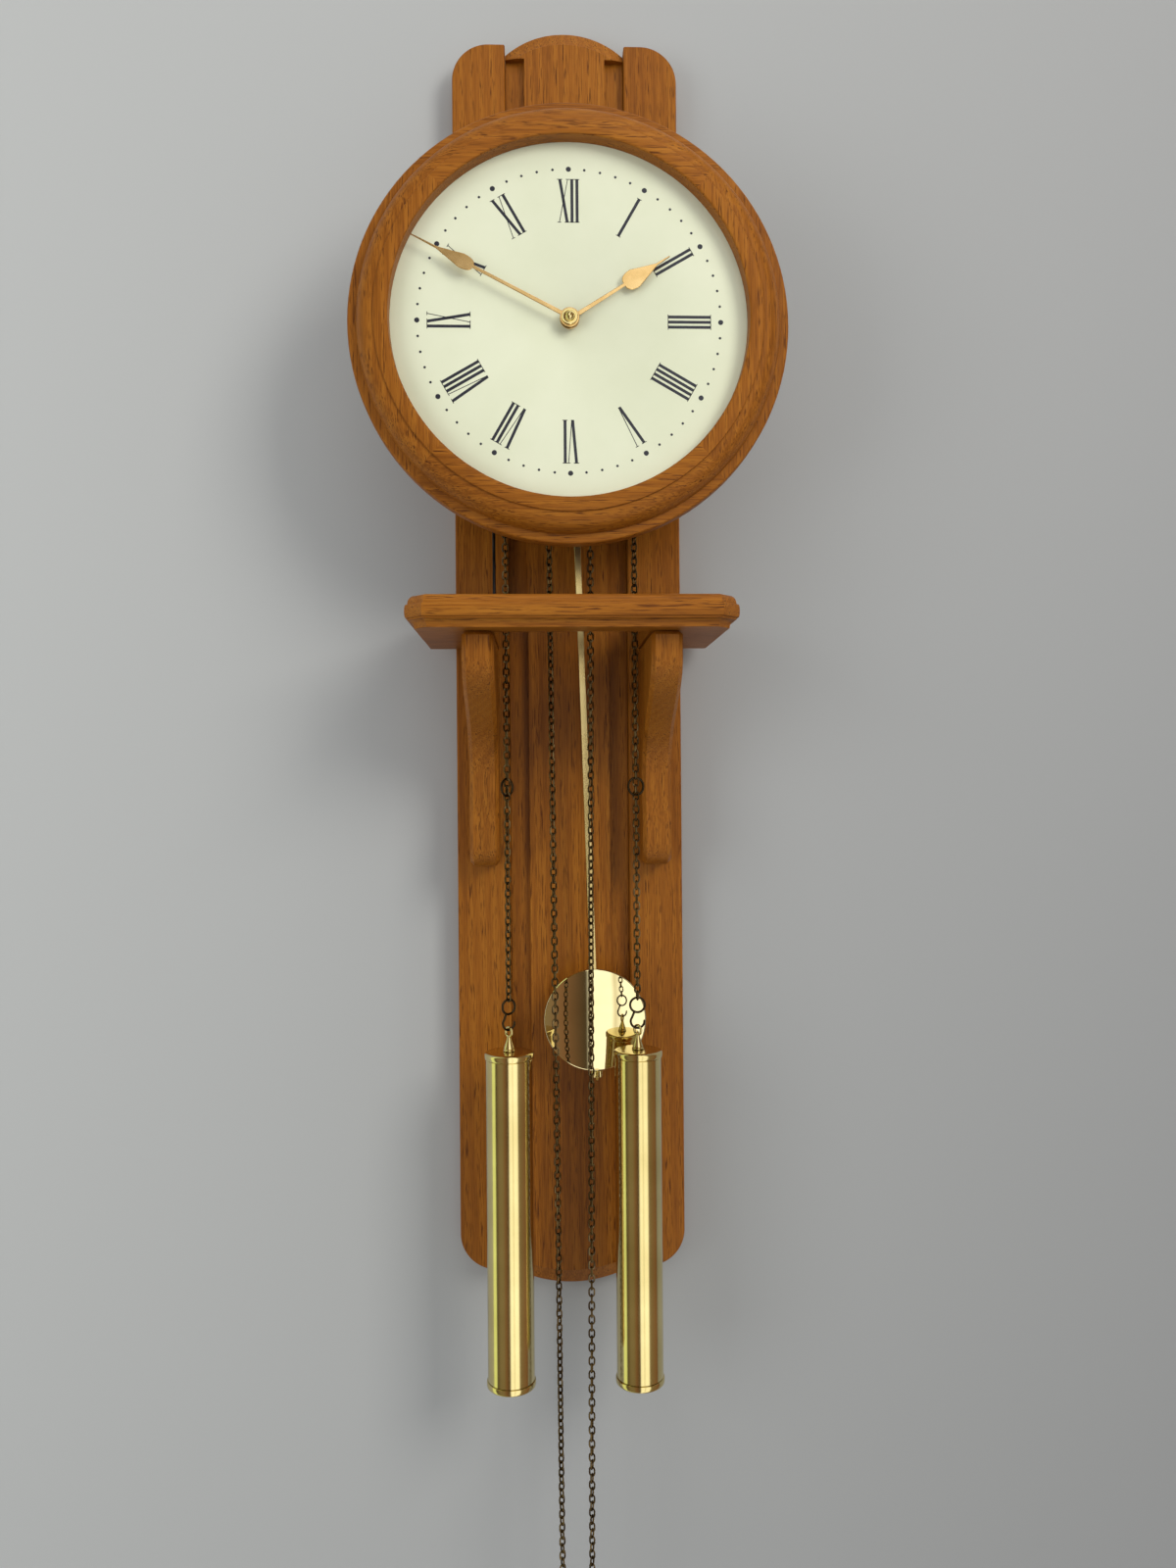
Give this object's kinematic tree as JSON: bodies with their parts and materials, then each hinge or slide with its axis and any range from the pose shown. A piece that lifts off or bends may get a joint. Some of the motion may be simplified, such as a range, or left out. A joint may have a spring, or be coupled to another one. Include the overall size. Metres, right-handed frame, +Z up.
{
  "type": "weight-driven wall clock",
  "caption": "Oak wall clock with a round moulded bezel, a bracketed shelf, a brass pendulum and tubular brass weights on chains.",
  "frame": {"origin": "on the wall, at the axis of the hands, at the back face of the centre panel", "axes": "+Z up, +Y into the wall, +X to the right as seen from the front"},
  "size_m": [0.362, 0.177, 1.4102],
  "materials": {
    "oak": "medium oak, satin varnish",
    "case_wood": "stained oak, thin varnish",
    "dial_enamel": "cream enamel with black painted chapters",
    "hand_brass": "lacquered stamped brass",
    "polished_brass": "polished and lacquered",
    "movement_brass": "brushed",
    "chain_bronze": "dark tarnished brass",
    "iron": "rough casting",
    "black_steel": "blued nearly black",
    "steel": "drawn steel"
  },
  "bodies": {
    "root": {"left_side_board": "oak", "right_side_board": "oak", "centre_panel": "oak", "hanger_plate": "steel", "shelf": "oak", "left_bracket": "oak", "right_bracket": "oak", "bezel_ring": "oak", "dial_board": "case_wood", "dial_plate": "dial_enamel", "case_left_side": "case_wood", "case_right_side": "case_wood", "case_top": "case_wood", "seat_board": "case_wood", "gong_block": "iron", "gong_rod": "black_steel", "back_plate": "movement_brass", "front_plate": "movement_brass", "suspension_cock": "movement_brass", "strike_weight_chain": "chain_bronze", "time_weight_chain": "chain_bronze", "strike_free_chain": "chain_bronze", "time_free_chain": "chain_bronze"},
    "time_great_wheel": {"time_great_wheel": "movement_brass"},
    "strike_great_wheel": {"strike_great_wheel": "movement_brass"},
    "centre_wheel": {"centre_wheel": "movement_brass"},
    "third_wheel": {"third_wheel": "movement_brass"},
    "escape_wheel": {"escape_wheel": "polished_brass"},
    "hammer": {"hammer": "movement_brass"},
    "minute_hand": {"minute_hand": "hand_brass", "cannon_pinion": "movement_brass", "hand_nut": "hand_brass"},
    "minute_wheel": {"minute_wheel": "movement_brass"},
    "hour_hand": {"hour_hand": "hand_brass", "hour_wheel": "movement_brass"},
    "anchor": {"anchor_and_crutch": "movement_brass"},
    "pendulum": {"suspension_spring": "chain_bronze", "pendulum_rod": "polished_brass", "pendulum_bob": "polished_brass", "rating_nut": "polished_brass"},
    "time_sprocket": {"time_sprocket": "steel"},
    "time_weight": {"time_stop_ring": "chain_bronze", "time_s_hook": "polished_brass", "time_weight_eye": "polished_brass", "time_weight_top_cap": "polished_brass", "time_weight_tube": "polished_brass", "time_weight_core": "iron", "time_weight_bottom_cap": "polished_brass"},
    "time_free_end": {"time_end_ring": "chain_bronze"},
    "strike_sprocket": {"strike_sprocket": "steel"},
    "strike_weight": {"strike_stop_ring": "chain_bronze", "strike_s_hook": "polished_brass", "strike_weight_eye": "polished_brass", "strike_weight_top_cap": "polished_brass", "strike_weight_tube": "polished_brass", "strike_weight_core": "iron", "strike_weight_bottom_cap": "polished_brass"},
    "strike_free_end": {"strike_end_ring": "chain_bronze"}
  },
  "joints": [
    {"name": "minute_hand_turn", "type": "hinge", "parent": "root", "child": "minute_hand", "pos_m": [0, -0.082, 0], "axis": [0, 1, 0], "continuous": true},
    {"name": "hour_hand_turn", "type": "hinge", "parent": "root", "child": "hour_hand", "pos_m": [0, -0.082, 0], "axis": [0, 1, 0], "continuous": true},
    {"name": "minute_wheel_turn", "type": "hinge", "parent": "root", "child": "minute_wheel", "pos_m": [0, -0.082, -0.021], "axis": [0, 1, 0], "continuous": true},
    {"name": "centre_wheel_turn", "type": "hinge", "parent": "root", "child": "centre_wheel", "pos_m": [0, -0.082, 0], "axis": [0, 1, 0], "continuous": true},
    {"name": "time_great_wheel_turn", "type": "hinge", "parent": "root", "child": "time_great_wheel", "pos_m": [0.0368, -0.082, -0.042], "axis": [0, 1, 0], "continuous": true},
    {"name": "third_wheel_turn", "type": "hinge", "parent": "root", "child": "third_wheel", "pos_m": [0.012, -0.082, 0.028], "axis": [0, 1, 0], "continuous": true},
    {"name": "escape_wheel_turn", "type": "hinge", "parent": "root", "child": "escape_wheel", "pos_m": [0, -0.082, 0.0527], "axis": [0, 1, 0], "continuous": true},
    {"name": "strike_great_wheel_turn", "type": "hinge", "parent": "root", "child": "strike_great_wheel", "pos_m": [-0.0368, -0.082, -0.042], "axis": [0, 1, 0], "continuous": true},
    {"name": "hammer_lift", "type": "hinge", "parent": "root", "child": "hammer", "pos_m": [-0.042, -0.082, 0.062], "axis": [0, 1, 0], "range_deg": [-14, 0]},
    {"name": "pendulum_swing", "type": "hinge", "parent": "root", "child": "pendulum", "pos_m": [0, -0.082, 0.09], "axis": [0, 1, 0], "range_deg": [-1.29, 4.71]},
    {"name": "anchor_rock", "type": "hinge", "parent": "root", "child": "anchor", "pos_m": [0, -0.082, 0.09], "axis": [0, 1, 0], "range_deg": [-1.3, 4.72]},
    {"name": "time_weight_slide", "type": "slide", "parent": "root", "child": "time_weight", "axis": [0, 0, 1], "range_m": [-0.3, 0.11], "deforming": ["time_weight_chain"]},
    {"name": "time_free_end_slide", "type": "slide", "parent": "root", "child": "time_free_end", "axis": [0, 0, 1], "range_m": [-0.11, 0.3], "deforming": ["time_free_chain"]},
    {"name": "time_sprocket_turn", "type": "hinge", "parent": "root", "child": "time_sprocket", "pos_m": [0.0368, -0.082, -0.042], "axis": [0, 1, 0], "range_deg": [-343.03, 934.67]},
    {"name": "strike_weight_slide", "type": "slide", "parent": "root", "child": "strike_weight", "axis": [0, 0, 1], "range_m": [-0.3, 0.11], "deforming": ["strike_weight_chain"]},
    {"name": "strike_free_end_slide", "type": "slide", "parent": "root", "child": "strike_free_end", "axis": [0, 0, 1], "range_m": [-0.11, 0.3], "deforming": ["strike_free_chain"]},
    {"name": "strike_sprocket_turn", "type": "hinge", "parent": "root", "child": "strike_sprocket", "pos_m": [-0.0368, -0.082, -0.042], "axis": [0, 1, 0], "range_deg": [-934.67, 343.03]}
  ],
  "couplings": [
    {"joint": "hour_hand_turn", "follows": "minute_hand_turn", "ratio": 0.083333},
    {"joint": "minute_wheel_turn", "follows": "minute_hand_turn", "ratio": -0.33333},
    {"joint": "time_great_wheel_turn", "follows": "centre_wheel_turn", "ratio": -0.3125},
    {"joint": "third_wheel_turn", "follows": "centre_wheel_turn", "ratio": -4.3333},
    {"joint": "escape_wheel_turn", "follows": "centre_wheel_turn", "ratio": 17.333},
    {"joint": "anchor_rock", "follows": "pendulum_swing", "ratio": 1},
    {"joint": "time_free_end_slide", "follows": "time_weight_slide", "ratio": -1},
    {"joint": "time_sprocket_turn", "follows": "time_weight_slide", "rad_per_m": -54.348},
    {"joint": "strike_free_end_slide", "follows": "strike_weight_slide", "ratio": -1},
    {"joint": "strike_sprocket_turn", "follows": "strike_weight_slide", "rad_per_m": 54.348}
  ]
}
